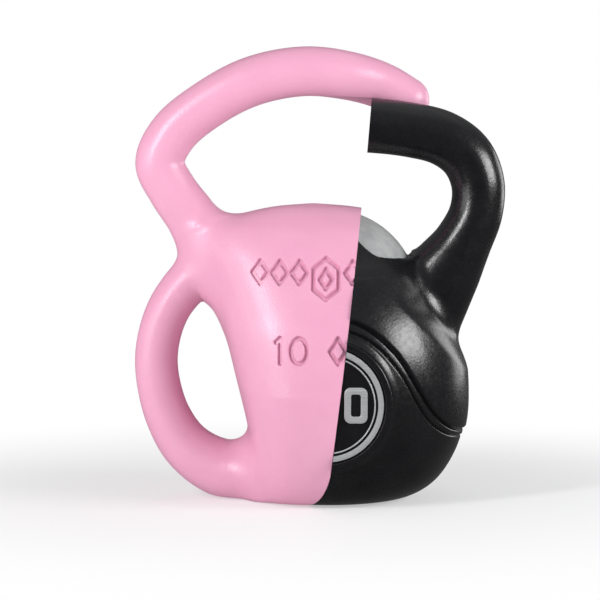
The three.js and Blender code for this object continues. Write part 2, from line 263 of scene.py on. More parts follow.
def ball_half(z, base, middle):
    up = middle * np.sqrt(np.maximum(0.0004, 1 - ((z - BALL_MIDDLE_Z) / BALL_RISE) ** 2))
    share = 1 - (np.maximum(0, BALL_MIDDLE_Z - z) / BALL_MIDDLE_Z) ** BASE_ROUNDING
    down = base + (middle - base) * np.maximum(0, share) ** (1 / BASE_ROUNDING)
    return np.where(z > BALL_MIDDLE_Z, up, down)


def ball_half_depth(z):
    return ball_half(z, BASE_HALF_DEPTH, BALL_DEPTH)


def pink_middle(z):
    share = (z - PINK_SHIFT_FROM_Z) / (PINK_TOP_Z - PINK_SHIFT_FROM_Z)
    return AXIS_X - PINK_TOP_SHIFT * np.clip(share, 0, 1) ** 2


def pink_half_depth(z):
    return np.where(z < BALL_MIDDLE_Z, ball_half_depth(z), table_value(PINK_HALF_DEPTHS, z))


arch, loop, grip = Bar(ARCH), Bar(LOOP), Bar(GRIP)
ball = OvalBody(BALL_MIDDLE_Z + BALL_RISE, lambda z: 0 * z + AXIS_X,
                lambda z: ball_half(z, BASE_HALF_WIDTH, BALL_RADIUS), ball_half_depth, 2)
pink_body = OvalBody(PINK_TOP_Z, pink_middle, lambda z: table_value(PINK_HALF_WIDTHS, z),
                     pink_half_depth, PINK_SQUARENESS)


# The crown is the core's dome showing through the black half's mouth; its light grey is painted sheen for
# the ball's lit top.
def crown_distance(x, y, z):
    flat = y / CROWN_FLATTENING
    away = np.sqrt((x - AXIS_X) ** 2 + flat**2 + (z - CROWN_Z) ** 2)
    slope = np.sqrt((x - AXIS_X) ** 2 + (flat / CROWN_FLATTENING) ** 2 + (z - CROWN_Z) ** 2)
    return (away - CROWN_RADIUS) * away / np.maximum(slope, 1e-6)


def from_badge(x, z):
    return np.sqrt((x - AXIS_X) ** 2 + (z - BADGE_Z) ** 2)


def joint_x(z):
    return JOINT_FOOT_X + JOINT_LEAN * z - JOINT_BOW * z * z


def mouth_rim(x):
    """Height of the black half's rim round the crown, which dips towards the loop's leg."""
    return MOUTH_LOW_Z + MOUTH_CURVE * np.maximum(0, MOUTH_LOW_X - (x - AXIS_X)) ** 2


def pink_form(x, y, z):
    form = smooth_min(pink_body.distance(x, y, z), grip.distance(x, y, z), GRIP_BLEND)
    form = smooth_min(form, arch.distance(x, y, z), ARCH_BLEND)
    return smooth_max(form, -z, FOOT_ROUNDING)


def ball_distance(x, y, z):
    """The ball, stepped back above its shoulder where the loop's foot rises from it."""
    across, along = (x + z - SHOULDER_SUM) / math.sqrt(2), (x - z) / math.sqrt(2)
    step = SHOULDER_STEP * smooth_step(*SHOULDER_ACROSS, across) * smooth_step(*SHOULDER_ALONG, along)
    return ball.distance(x, y, z) + step


def black_form(x, y, z):
    """The ball with the loop handle, the badge's rim and a collar round the crown, still filled."""
    form = smooth_min(ball_distance(x, y, z), loop.distance(x, y, z), LOOP_BLEND)
    crown, rim = crown_distance(x, y, z), mouth_rim(x)
    form = smooth_min(form, smooth_max(crown - COLLAR, z - rim, MOUTH_EDGE), COLLAR_BLEND)
    form = smooth_max(form, -smooth_max(crown - COLLAR - 1, rim - z, MOUTH_EDGE), RIM_EDGE)
    boss = smooth_max(from_badge(x, z) - BADGE_RIM_RADIUS, np.maximum(BADGE_FACE_Y - y, y), RIM_EDGE)
    form = smooth_min(form, boss, BOSS_BLEND)
    return smooth_max(form, -z, FOOT_ROUNDING)


def behind_badge(x, y, z, wall):
    """Keeps a wall behind the badge's pocket: positive inside the room that has to stay filled."""
    back = BADGE_FACE_Y + BADGE_POCKET + wall
    return -np.maximum(from_badge(x, z) - BADGE_RIM_RADIUS, y - back)


def room(form, z, wall):
    """The inside of a form with a wall of the given thickness left round it and under it."""
    return np.maximum(form + wall, wall - z)


def pink_room(x, y, z):
    return room(pink_body.distance(x, y, z), z, WALL)


def black_room(x, y, z):
    inside = np.minimum(room(ball_distance(x, y, z), z, WALL), crown_distance(x, y, z) + GAP)
    return np.maximum(inside, behind_badge(x, y, z, WALL))


def left_ballast(x, y, z):
    return np.maximum(room(pink_body.distance(x, y, z), z, WALL + GAP), behind_badge(x, y, z, WALL + GAP))


def right_ballast(x, y, z):
    form = np.minimum(room(ball_distance(x, y, z), z, WALL + GAP), crown_distance(x, y, z) + GAP / 2)
    return np.maximum(form, behind_badge(x, y, z, WALL + GAP))


# ---- meshes ----
CORNERS = [(i, j, k) for i in (0, 1) for j in (0, 1) for k in (0, 1)]
EDGES = [(a, b) for a in range(8) for b in range(a + 1, 8)
         if sum(p != q for p, q in zip(CORNERS[a], CORNERS[b])) == 1]
LOW = np.array([-112.0, -72.0, -2.0])
HIGH = np.array([110.0, 72.0, 265.0])


def surface_net(form, pitch, low=LOW, high=HIGH):
    """Points and quads of the form's surface, one point for each grid cell that it crosses."""
    axes = [np.arange(a - 2 * pitch, b + 3 * pitch, pitch) for a, b in zip(low, high)]
    x, y, z = axes[0][:, None, None], axes[1][None, :, None], axes[2][None, None, :]
    field = np.broadcast_to(form(x, y, z), [len(a) for a in axes])
    inside = field < 0
    size = [n - 1 for n in field.shape]
    count = np.zeros(size, np.int8)
    for i, j, k in CORNERS:
        count += inside[i : i + size[0], j : j + size[1], k : k + size[2]]
    cells = np.argwhere((count > 0) & (count < 8))
    values = np.stack([field[tuple((cells + c).T)] for c in CORNERS], 1)
    total, hits = np.zeros((len(cells), 3)), np.zeros(len(cells))
    for a, b in EDGES:
        va, vb = values[:, a], values[:, b]
        crossed = (va < 0) != (vb < 0)
        t = np.where(crossed, va / np.where(crossed, va - vb, 1), 0)[:, None]
        spot = np.array(CORNERS[a]) * (1 - t) + np.array(CORNERS[b]) * t
        total += np.where(crossed[:, None], spot, 0)
        hits += crossed
    points = np.array([a[0] for a in axes]) + pitch * (cells + total / hits[:, None])
    number = np.full(size, -1, np.int64)
    number[tuple(cells.T)] = np.arange(len(cells))
    quads = []
    for axis in range(3):
        u, v = (axis + 1) % 3, (axis + 2) % 3
        here = [slice(1, -1)] * 3
        here[axis] = slice(0, -1)
        there = list(here)
        there[axis] = slice(1, None)
        starts, ends = inside[tuple(here)], inside[tuple(there)]
        for rising in (True, False):
            spots = np.argwhere((starts & ~ends) if rising else (~starts & ends))
            spots = spots + np.array([0 if n == axis else 1 for n in range(3)])
            ring = []
            for du, dv in ((1, 1), (0, 1), (0, 0), (1, 0)):
                cell = spots.copy()
                cell[:, u] -= du
                cell[:, v] -= dv
                ring.append(number[tuple(cell.T)])
            ring = np.stack(ring, 1)
            quads.append(ring if rising else ring[:, ::-1])
    return points, np.concatenate(quads)


def slope_of(form, points, step=0.02):
    x, y, z = points.T
    value = form(x, y, z)
    rise = [(form(x + step * (n == 0), y + step * (n == 1), z + step * (n == 2)) - value) / step
            for n in range(3)]
    return value, np.stack(rise, 1)


def settle(form, points, rounds=3, reach=1.2):
    """Moves points onto the form's surface along its slope."""
    for _ in range(rounds):
        value, slope = slope_of(form, points)
        move = value[:, None] * slope / np.maximum((slope**2).sum(1), 0.05)[:, None]
        length = np.linalg.norm(move, axis=1, keepdims=True)
        points = points - move * np.minimum(1, reach / np.maximum(length, 1e-9))
    return points


def object_of(name, points, faces):
    mesh = bpy.data.meshes.new(name)
    mesh.from_pydata((np.asarray(points) * MM).tolist(), [], [tuple(f) for f in faces])
    mesh.validate()
    made = bpy.data.objects.new(name, mesh)
    bpy.context.collection.objects.link(made)
    return made


def points_of(made):
    flat = np.empty(len(made.data.vertices) * 3)
    made.data.vertices.foreach_get("co", flat)
    return flat.reshape(-1, 3) / MM


def set_points(made, points):
    made.data.vertices.foreach_set("co", (points * MM).ravel())
    made.data.update()


def refine(made, wanted, cuts):
    """Divides the faces whose middles are wanted, so that they can carry finer shapes."""
    mesh = bmesh.new()
    mesh.from_mesh(made.data)
    middles = np.array([f.calc_center_median() for f in mesh.faces]) / MM
    chosen = np.flatnonzero(wanted(*middles.T))
    mesh.faces.ensure_lookup_table()
    edges = {e for i in chosen for e in mesh.faces[i].edges}
    edges = sorted(edges, key=lambda e: e.index)
    bmesh.ops.subdivide_edges(mesh, edges=edges, cuts=cuts, use_grid_fill=True)
    mesh.to_mesh(made.data)
    mesh.free()


def form_object(name, form, pitch, wanted=None, relief=None, cuts=3):
    """The form as a mesh, divided finely where wanted and raised along its slope by the relief."""
    points, quads = surface_net(form, pitch)
    made = object_of(name, settle(form, points), quads.tolist())
    if wanted:
        refine(made, wanted, cuts)
        set_points(made, settle(form, points_of(made), rounds=2))
    if relief:
        points = points_of(made)
        _, slope = slope_of(form, points)
        height = relief(*points.T)
        set_points(made, points + slope / np.linalg.norm(slope, axis=1, keepdims=True) * height[:, None])
    return made


def cut(made, tool, operation="DIFFERENCE"):
    """Applies a boolean with the tool and throws the tool away."""
    step = made.modifiers.new("cut", "BOOLEAN")
    step.object = tool
    step.operation = operation
    step.solver = "MANIFOLD"
    with bpy.context.temp_override(object=made, active_object=made, selected_objects=[made]):
        bpy.ops.object.modifier_apply(modifier=step.name)
    bpy.data.objects.remove(tool, do_unlink=True)


def turned(name, profile, centre, axis, segments=96):
    """A body of revolution: profile rows are (radius, place along the axis); it closes on itself, or on
    the axis where its first and last radii are 0."""
    angles = np.arange(segments) * 2 * math.pi / segments
    sides = [n for n in range(3) if n != axis]
    points, rings = [], []
    for radius, along in profile:
        steps = angles if radius else angles[:1]
        rings.append(list(range(len(points), len(points) + len(steps))))
        for angle in steps:
            point = np.zeros(3)
            point[sides[0]], point[sides[1]] = radius * math.cos(angle), radius * math.sin(angle)
            point[axis] = along
            points.append(point + centre)
    solid = profile[0][0] == 0
    pairs = list(zip(rings[:-1], rings[1:])) + ([] if solid else [(rings[-1], rings[0])])
    faces = []
    for a, b in pairs:
        for i in range(segments):
            j = (i + 1) % segments
            ring = [a[i % len(a)], a[j % len(a)], b[j % len(b)], b[i % len(b)]]
            faces.append(list(dict.fromkeys(ring)))
    made = object_of(name, points, faces)
    face_out(made)
    return made


def face_out(made):
    mesh = bmesh.new()
    mesh.from_mesh(made.data)
    bmesh.ops.recalc_face_normals(mesh, faces=mesh.faces)
    mesh.to_mesh(made.data)
    mesh.free()


def rounded(profile, radius, steps=4):
    """A closed or open profile with each inner corner rounded off."""
    made = [profile[0]]
    for before, corner, after in zip(profile[:-2], profile[1:-1], profile[2:]):
        b, c, a = (np.array(p, float) for p in (before, corner, after))
        reach = min(radius, np.linalg.norm(b - c) * 0.45, np.linalg.norm(a - c) * 0.45)
        start = c + (b - c) / np.linalg.norm(b - c) * reach
        end = c + (a - c) / np.linalg.norm(a - c) * reach
        for t in np.linspace(0, 1, steps):
            made.append(tuple((1 - t) ** 2 * start + 2 * t * (1 - t) * c + t * t * end))
    return made + [profile[-1]]


def prism(name, outline, low, high):
    """A block with an outline of (x, z) points, from y = low to y = high."""
    n = len(outline)
    points = [(x, y, z) for y in (low, high) for x, z in outline]
    faces = [list(range(n)), list(range(n, 2 * n))[::-1]]
    faces += [[i, i + n, (i + 1) % n + n, (i + 1) % n] for i in range(n)]
    made = object_of(name, points, faces)
    face_out(made)
    return made


def joint_block(side, clearance, top=FAR):
    """A block on one side of the joint and below top: side 1 is the right, -1 the left."""
    corner_top = 1.8 * JOINT_CORNER
    start = np.array([joint_x(0) - JOINT_CORNER, 0.0])
    bend = np.array([joint_x(0) - 1, JOINT_CORNER / 3])
    end = np.array([joint_x(corner_top), corner_top])
    line = [(start[0], -FAR)]
    for t in np.linspace(0, 1, 13):
        line.append(tuple((1 - t) ** 2 * start + 2 * t * (1 - t) * bend + t * t * end))
    line += [(joint_x(z), z) for z in np.linspace(corner_top, top, 30)[1:]]
    line = [(x + side * clearance, z) for x, z in line]
    return prism("joint_block", line + [(side * FAR, top), (side * FAR, -FAR)], -FAR, FAR)


def bore(bar, radius, start, end, sides=20):
    """A round tube along a bar's middle line, between two shares of its length."""
    last = len(bar.rows) - 1
    rows = bar.rows[round(start * last) : round(end * last) + 1, :3]
    tangents = np.gradient(rows, axis=0)
    tangents /= np.linalg.norm(tangents, axis=1, keepdims=True)
    across = np.cross(tangents, (0, 1, 0))
    across /= np.linalg.norm(across, axis=1, keepdims=True)
    third = np.cross(tangents, across)
    angles = np.arange(sides) * 2 * math.pi / sides
    points = [row + radius * (math.cos(a) * u + math.sin(a) * v)
              for row, u, v in zip(rows, across, third) for a in angles]
    faces = [list(range(sides)), list(range(len(points) - sides, len(points)))[::-1]]
    for k in range(len(rows) - 1):
        for i in range(sides):
            j = (i + 1) % sides
            faces.append([k * sides + i, k * sides + j, (k + 1) * sides + j, (k + 1) * sides + i])
    made = object_of("bore", points, faces)
    face_out(made)
    return made


# ---- marks on the pink front, grooves on the black ball ----
def polygon(x, z, half_width, half_height, corners, turn=0.0):
    """A closed line with its corners on an oval; four corners make a lozenge."""
    angles = np.arange(corners + 1) * 2 * math.pi / corners + turn
    return [(x + half_width * math.cos(a), z + half_height * math.sin(a)) for a in angles]


ROW_Z = 133.5
ROW_XS = (-32.5, -21.5, -10.5, 19.5)
SIGN_X, SIGN_Z = 4.5, 130.0
WEIGHT_Z = 90.7
HALF_FIGURE = 7.0  # half the height of the weight's figures
ONE_X = -20.8
MARKS = [
    *(polygon(x, ROW_Z, 4.4, 6.2, 4) for x in ROW_XS),
    polygon(SIGN_X, SIGN_Z, 8.2, 11.2, 6, math.pi / 6),
    polygon(SIGN_X, SIGN_Z, 3.6, 5.4, 4),
    [(ONE_X - 2.5, WEIGHT_Z + 4.6), (ONE_X, WEIGHT_Z + HALF_FIGURE), (ONE_X, WEIGHT_Z - HALF_FIGURE)],
    polygon(-10.3, WEIGHT_Z, 4.5, HALF_FIGURE, 28),
    polygon(11.5, WEIGHT_Z, 4.6, HALF_FIGURE, 4),
]
MARK_HALF_STROKE = 1.15
MARK_DEPTH = 2.0
MARK_WALL = 0.25  # half the width of a mark's sloping wall
MARK_REACH = 2.6


def from_marks(x, z):
    """Distance from the nearest line of the marks, in the front view."""
    best = np.full(np.shape(x), np.inf)
    for line in MARKS:
        for (ax, az), (bx, bz) in zip(line[:-1], line[1:]):
            dx, dz = bx - ax, bz - az
            t = np.clip(((x - ax) * dx + (z - az) * dz) / (dx * dx + dz * dz), 0, 1)
            best = np.minimum(best, np.hypot(x - ax - t * dx, z - az - t * dz))
    return best


def on_pink_front(x, y, z):
    return (y < -20) & (x > -45) & (z > 75) & (z < 150)


def marks_wanted(x, y, z):
    return on_pink_front(x, y, z) & (from_marks(x, z) < MARK_REACH)


def marks_relief(x, y, z):
    edges = MARK_HALF_STROKE + MARK_WALL, MARK_HALF_STROKE - MARK_WALL
    depth = MARK_DEPTH * smooth_step(*edges, from_marks(x, z))
    return np.where(on_pink_front(x, y, z), -depth, 0)


OUTER_DEPTH, OUTER_WIDTH = 1.7, 0.85
INNER_DEPTH, INNER_WIDTH = 1.2, 0.6
BALL_LIP = 0.5  # how far the ball stands out above the outer groove
BAND_DROP = 0.7  # how far the band below the outer groove lies back
BELOW_DROP = 0.3  # how much further the ball lies back below the inner groove
GROOVE_REACH = 2.4
EDGE_REACH = 2.5
GROOVES_TOP_Z = 118.0


def from_groove(table, x, y, z):
    """Distance above a groove's line, across the line."""
    step = 0.5
    round_axis = np.abs(np.degrees(np.arctan2(x - AXIS_X, np.abs(y))))
    height = table_value(table, round_axis)
    radius = np.maximum(np.hypot(x - AXIS_X, y), 1)
    ahead = table_value(table, round_axis + step)
    climb = (ahead - height) / (radius * math.radians(step))
    return (z - height) / np.sqrt(1 + climb**2)


def grooves_wanted(x, y, z):
    right = x > joint_x(z) - WALL
    outer, inner = (np.abs(from_groove(table, x, y, z)) for table in (OUTER_GROOVE, INNER_GROOVE))
    groove = np.minimum(outer, inner) < GROOVE_REACH
    rim = (np.abs(from_badge(x, z) - BADGE_RIM_RADIUS) < EDGE_REACH) & (y < -50)
    collar = np.abs(crown_distance(x, y, z) - COLLAR) < EDGE_REACH
    mouth = collar & (np.abs(z - mouth_rim(x)) < EDGE_REACH + 1)
    return right & (((z < GROOVES_TOP_Z) & (groove | rim)) | mouth)


def grooves_relief(x, y, z):
    """Both grooves with the steps between them, fading towards the base, the badge and the ball's top."""
    outer, inner = from_groove(OUTER_GROOVE, x, y, z), from_groove(INNER_GROOVE, x, y, z)
    lip = BALL_LIP * smooth_step(-0.4, 0.8, outer) * smooth_step(30, 3, outer)
    drop = BAND_DROP * smooth_step(0.4, -0.8, outer) + BELOW_DROP * smooth_step(0.3, -0.6, inner)
    lines = OUTER_DEPTH * np.exp(-((outer / OUTER_WIDTH) ** 2))
    lines += INNER_DEPTH * np.exp(-((inner / INNER_WIDTH) ** 2))
    off_badge = np.clip(smooth_step(0.5, 4, from_badge(x, z) - BADGE_RIM_RADIUS) + (y > 0), 0, 1)
    return (lip - (drop + lines) * smooth_step(4, 25, z)) * off_badge * (z < 130)


# ---- materials ----
class Finish:
    """A node material on the object's own coordinates, in metres."""

    def __init__(self, name, color, roughness, metallic=0.0, specular=0.5):
        self.material = bpy.data.materials.new(name)
        self.material.use_nodes = True
        self.nodes, self.links = self.material.node_tree.nodes, self.material.node_tree.links
        self.shader = self.nodes["Principled BSDF"]
        self.shader.inputs["Metallic"].default_value = metallic
        self.shader.inputs["Specular IOR Level"].default_value = specular
        self.shader.inputs["Base Color"].default_value = (*color, 1)
        self.shader.inputs["Roughness"].default_value = roughness
        self.place = self.nodes.new("ShaderNodeTexCoord").outputs["Object"]

    def noise(self, scale, detail=2.0, stretch=None):
        made = self.nodes.new("ShaderNodeTexNoise")
        made.inputs["Scale"].default_value = scale
        made.inputs["Detail"].default_value = detail
        source = self.place
        if stretch:
            mapping = self.nodes.new("ShaderNodeMapping")
            mapping.inputs["Scale"].default_value = stretch
            self.links.new(self.place, mapping.inputs["Vector"])
            source = mapping.outputs["Vector"]
        self.links.new(source, made.inputs["Vector"])
        return made.outputs["Fac"]

    def pebbles(self, scale):
        made = self.nodes.new("ShaderNodeTexVoronoi")
        made.feature = "SMOOTH_F1"
        made.inputs["Scale"].default_value = scale
        made.inputs["Smoothness"].default_value = 0.6
        self.links.new(self.place, made.inputs["Vector"])
        return made.outputs["Distance"]

    def vary_color(self, factor, low, high, edges=(0.3, 0.7)):
        ramp = self.nodes.new("ShaderNodeValToRGB")
        ramp.color_ramp.elements[0].position, ramp.color_ramp.elements[1].position = edges
        ramp.color_ramp.elements[0].color = (*low, 1)
        ramp.color_ramp.elements[1].color = (*high, 1)
        self.links.new(factor, ramp.inputs["Fac"])
        self.links.new(ramp.outputs["Color"], self.shader.inputs["Base Color"])

    def vary_roughness(self, factor, low, high):
        spread = self.nodes.new("ShaderNodeMapRange")
        spread.inputs["From Min"].default_value, spread.inputs["From Max"].default_value = 0.3, 0.7
        spread.inputs["To Min"].default_value, spread.inputs["To Max"].default_value = low, high
        self.links.new(factor, spread.inputs["Value"])
        self.links.new(spread.outputs["Result"], self.shader.inputs["Roughness"])

    def bump(self, height, strength, distance, below=None):
        made = self.nodes.new("ShaderNodeBump")
        made.inputs["Strength"].default_value = strength
        made.inputs["Distance"].default_value = distance
        self.links.new(height, made.inputs["Height"])
        if below:
            self.links.new(below, made.inputs["Normal"])
        self.links.new(made.outputs["Normal"], self.shader.inputs["Normal"])
        return made.outputs["Normal"]


def pink_finish():
    made = Finish("pink_satin", (0.72, 0.335, 0.48), 0.36)
    made.vary_color(made.noise(35, 4), (0.705, 0.322, 0.467), (0.738, 0.348, 0.495))
    made.vary_roughness(made.noise(500, 3), 0.3, 0.38)
    broad = made.bump(made.noise(160, 2), 0.12, 0.0003)
    made.bump(made.pebbles(850), 0.28, 0.0003, broad)
    return made.material


def black_finish():
    made = Finish("black_pebbled", (0.004, 0.004, 0.005), 0.22)
    made.vary_color(made.noise(60, 4), (0.003, 0.003, 0.004), (0.006, 0.006, 0.007))
    made.vary_roughness(made.noise(400, 3), 0.21, 0.3)
    broad = made.bump(made.noise(180, 2), 0.05, 0.0003)
    made.bump(made.pebbles(750), 0.12, 0.0003, broad)
    return made.material


def plain_finish(name, low, high, roughness):
    made = Finish(name, low, roughness)
    made.vary_color(made.noise(120, 5), low, high)
    made.vary_roughness(made.noise(300, 3), roughness - 0.04, roughness + 0.05)
    made.bump(made.noise(700, 3), 0.12, 0.0001)
    return made.material


# Inside, hidden, this grey is the core's own; where it shows at the crown, between the black rim and the
# pink half, it is painted sheen standing in for the overhead light's reflection on the ball's top.
def crown_sheen_casting_finish():
    made = Finish("grey_casting_crown_sheen", (0.42, 0.43, 0.43), 0.5)
    made.vary_color(made.noise(260, 6), (0.33, 0.34, 0.34), (0.42, 0.43, 0.43))
    made.vary_roughness(made.noise(200, 3), 0.42, 0.6)
    made.bump(made.noise(900, 4), 0.15, 0.0002)
    return made.material


def metal_finish(name, low, high, roughness, stretch, metallic=1.0):
    made = Finish(name, low, roughness, metallic)
    brushed = made.noise(1.0, 2, stretch)
    made.vary_color(brushed, low, high)
    made.vary_roughness(brushed, roughness - 0.08, roughness + 0.08)
    made.bump(brushed, 0.1, 0.0001)
    return made.material


def gloss_finish():
    made = Finish("badge_gloss_black", (0.005, 0.005, 0.006), 0.12)
    made.vary_color(made.noise(80, 3), (0.004, 0.004, 0.005), (0.007, 0.007, 0.008))
    made.vary_roughness(made.noise(250, 4), 0.09, 0.17)
    made.bump(made.noise(60, 2), 0.05, 0.0001)
    return made.material


def finished(made, material, node, sharp=40):
    """Gives a piece its one material and its place in the part."""
    made.data.materials.clear()
    made.data.materials.append(material)
    made.data.polygons.foreach_set("material_index", [0] * len(made.data.polygons))
    made.data.shade_smooth()
    made.data.set_sharp_from_angle(angle=math.radians(sharp))
    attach(made, "root")
    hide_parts(node)


# ---- pieces ----
PITCH = 1.4
ROUGH_PITCH = 3.0
ROD_BORES = [  # (bar, radius, first and last share of its length)
    (arch, 4.8, 0.02, 0.83), (grip, 4.3, 0.02, 0.97), (loop, 5.3, 0.145, 0.98),
]
ARCH_SEAT_Z = 195.0  # the arch runs past the joint above this height
POCKET_CHAMFER = 0.7
DOWEL_LOW, DOWEL_HIGH = box_mm("arch_tip_dowel")
DOWEL_MIDDLE = (DOWEL_LOW + DOWEL_HIGH) / 2
PLUGS = {node: box_mm(node) for node in ("pink_fill_plug", "black_fill_plug")}


def straight_hole(centre, axis, radius, start, end, segments=48):
    """A plain round cutter along an axis, from one place on it to another."""
    middle = np.array(centre, float)
    middle[axis] = 0
    return turned("hole", [(0, start), (radius, start), (radius, end), (0, end)], middle, axis, segments)


def dowel_hole():
    radius = (DOWEL_HIGH[0] - DOWEL_LOW[0]) / 2 + GAP
    return straight_hole(DOWEL_MIDDLE, 1, radius, DOWEL_LOW[1] - GAP, DOWEL_HIGH[1] + GAP, 24)


def fill_hole(node):
    low, high = PLUGS[node]
    return straight_hole((low + high) / 2, 2, PLUG_RADIUS + GAP, -WALL, WALL + GAP)


def cap_middle():
    return np.array([0, 0, (CAP_LOW[2] + CAP_HIGH[2]) / 2])


def make_pink_skin():
    made = form_object("pink_skin", pink_form, PITCH, marks_wanted, marks_relief)
    cut(made, joint_block(1, -GAP / 2, top=ARCH_SEAT_Z))
    cut(made, form_object("loop_room", lambda x, y, z: loop.distance(x, y, z) - GAP, PITCH))
    cut(made, form_object("pink_room", pink_room, ROUGH_PITCH))
    for bar, radius, start, end in ROD_BORES[:2]:
        cut(made, bore(bar, radius, start, end))
    cut(made, dowel_hole())
    cut(made, fill_hole("pink_fill_plug"))
    finished(made, pink_finish(), "pink_shell")


def make_black_skin():
    made = form_object("black_skin", black_form, PITCH, grooves_wanted, grooves_relief)
    cut(made, joint_block(1, GAP / 2), "INTERSECT")
    pocket = BADGE_RADIUS + 2.4 * GAP
    floor = BADGE_FACE_Y + BADGE_POCKET
    profile = [(0, floor), (pocket, floor), (pocket, BADGE_FACE_Y + POCKET_CHAMFER),
               (pocket + POCKET_CHAMFER, BADGE_FACE_Y - 0.05), (pocket + POCKET_CHAMFER, -FAR), (0, -FAR)]
    cut(made, turned("pocket", profile, np.array([AXIS_X, 0, BADGE_Z]), 1, 144))
    cut(made, form_object("crown_room", crown_distance, PITCH))
    cut(made, form_object("black_room", black_room, ROUGH_PITCH))
    cut(made, bore(*ROD_BORES[2]))
    cut(made, straight_hole(cap_middle(), 0, CAP_RADIUS + GAP, -FAR, CAP_HIGH[0] + GAP, 96))
    cut(made, dowel_hole())
    cut(made, fill_hole("black_fill_plug"))
    finished(made, black_finish(), "black_shell")


def make_ballast():
    made = form_object("ballast", right_ballast, PITCH + 0.4)
    cut(made, joint_block(1, -GAP / 2), "INTERSECT")
    left = form_object("left_ballast", left_ballast, ROUGH_PITCH)
    cut(left, joint_block(-1, GAP / 2), "INTERSECT")
    cut(made, left, "UNION")
    for bar, radius, start, end in ROD_BORES:
        cut(made, bore(bar, radius, start, end))
    # The core's grey, seen at the crown, is painted sheen for the overhead light on the ball's top.
    finished(made, crown_sheen_casting_finish(), "ballast_core", sharp=30)


def make_loop_cap():
    """A turned cap with a chamfered edge, a shallow dish and a middle button, flush with the slanted cut."""
    face = joint_x(cap_middle()[2]) + GAP
    radius = CAP_RADIUS - 0.1
    back = CAP_HIGH[0] - face
    profile = [(0, back), (radius, back), (radius, 0), (radius - 2.6, 0), (radius - 3.4, 0.9), (2.8, 0.9),
               (2.2, 0.3), (0, 0.3)]
    made = turned("loop_cap", rounded(profile, 0.5), np.zeros(3), 0, 96)
    lean = math.atan(JOINT_LEAN - 2 * JOINT_BOW * cap_middle()[2])
    points = points_of(made)
    turn = np.array([[math.cos(lean), 0, math.sin(lean)], [0, 1, 0], [-math.sin(lean), 0, math.cos(lean)]])
    set_points(made, points @ turn.T + cap_middle() + np.array([face, 0, 0]))
    finished(made, plain_finish("black_cap", (0.012, 0.012, 0.013), (0.017, 0.017, 0.018), 0.4),
             "loop_end_cap", sharp=30)


def trimmed(made):
    cut(made, joint_block(1, GAP / 2), "INTERSECT")
    return made


def make_badge():
    centre = np.array([AXIS_X, 0, BADGE_Z])
    front, back = PLATE_LOW[1], PLATE_HIGH[1]
    plate = [(0, back), (BADGE_RADIUS, back), (BADGE_RADIUS, front), (0, front)]
    finished(trimmed(turned("badge_disc", rounded(plate, 0.3), centre, 1, 144)), gloss_finish(),
             "badge_plate", sharp=30)
    silver = metal_finish("brushed_silver", (0.34, 0.345, 0.355), (0.5, 0.51, 0.52), 0.42, (60, 60, 3000),
                          metallic=0.4)
    for name, node, outer, width in (
            ("badge_ring_wide", "badge_outer_ring", BADGE_RADIUS - 0.2, OUTER_RING_WIDTH),
            ("badge_ring_thin", "badge_inner_ring", THIN_RADIUS, INNER_RING_WIDTH)):
        inner, face, rear = outer - width, TRIM_FACE_Y, front - 0.02
        middle = (outer + inner) / 2
        ring = [(middle, rear), (outer, rear), (outer, face + 0.15), (middle, face), (inner, face + 0.15),
                (inner, rear), (middle, rear)]
        made = turned(name, rounded(ring, 0.2)[:-1], centre, 1, 144)
        finished(trimmed(made), silver, node, sharp=30)
    make_zero(silver, front - 0.02)


def rounded_box(half_width, half_height, corner, steps=5):
    """Corners as arcs, anticlockwise from the right side."""
    made = []
    for quarter, (sx, sz) in enumerate(((1, 1), (-1, 1), (-1, -1), (1, -1))):
        for t in np.linspace(0, math.pi / 2, steps):
            angle = t + quarter * math.pi / 2
            made.append((sx * (half_width - corner) + corner * math.cos(angle),
                         sz * (half_height - corner) + corner * math.sin(angle)))
    return np.array(made)


def make_zero(silver, rear):
    """A block numeral 0 with softly bevelled front edges."""
    half_width, _, half_height = (NUMERAL_HIGH - NUMERAL_LOW) / 2
    face, bevel = NUMERAL_LOW[1], 0.3
    corner, inner_corner = 3.6, 1.3
    hole_half_width, hole_half_height = half_width - NUMERAL_STROKE, half_height - NUMERAL_STROKE
    rings = []
    for inset, y in ((0, rear), (0, face + bevel), (bevel * 0.35, face + bevel * 0.35), (bevel, face)):
        outer = rounded_box(half_width - inset, half_height - inset, corner - inset)
        hole = rounded_box(hole_half_width + inset, hole_half_height + inset, inner_corner + inset)
        rings.append((outer, hole, y))
    loops = [(outer, y) for outer, _, y in rings] + [(hole, y) for _, hole, y in rings[::-1]]
    n = len(loops[0][0])
    middle = np.array([AXIS_X + NUMERAL_OFFSET, 0, BADGE_Z])
    points = [np.array([x, y, z]) + middle for outline, y in loops for x, z in outline]
    faces = []
    for k in range(len(loops)):
        a, b = k * n, (k + 1) % len(loops) * n
        faces += [[a + i, a + (i + 1) % n, b + (i + 1) % n, b + i] for i in range(n)]
    made = object_of("badge_zero", points, faces)
    face_out(made)
    finished(made, silver, "badge_numeral", sharp=30)


def make_plugs():
    """Turned plugs with a soft edge and a dimple, just inside the base."""
    looks = {"pink_fill_plug": ("pink_plug", "pink_trim", (0.78, 0.32, 0.46), (0.84, 0.36, 0.51)),
             "black_fill_plug": ("black_plug", "black_trim", (0.012, 0.012, 0.013), (0.018, 0.018, 0.019))}
    for node, (name, slot, dark, light) in looks.items():
        low, high = PLUGS[node]
        middle = (low + high) / 2 * (1, 1, 0)
        bottom, top = low[2], high[2]
        dimple = [(3.2, bottom), (2.4, bottom + 1), (0, bottom + 1)]
        profile = [(0, top), (PLUG_RADIUS, top), (PLUG_RADIUS, bottom)] + dimple
        made = turned(name, rounded(profile, 0.5), middle, 2, 64)
        finished(made, plain_finish(name, dark, light, 0.42), node, sharp=30)


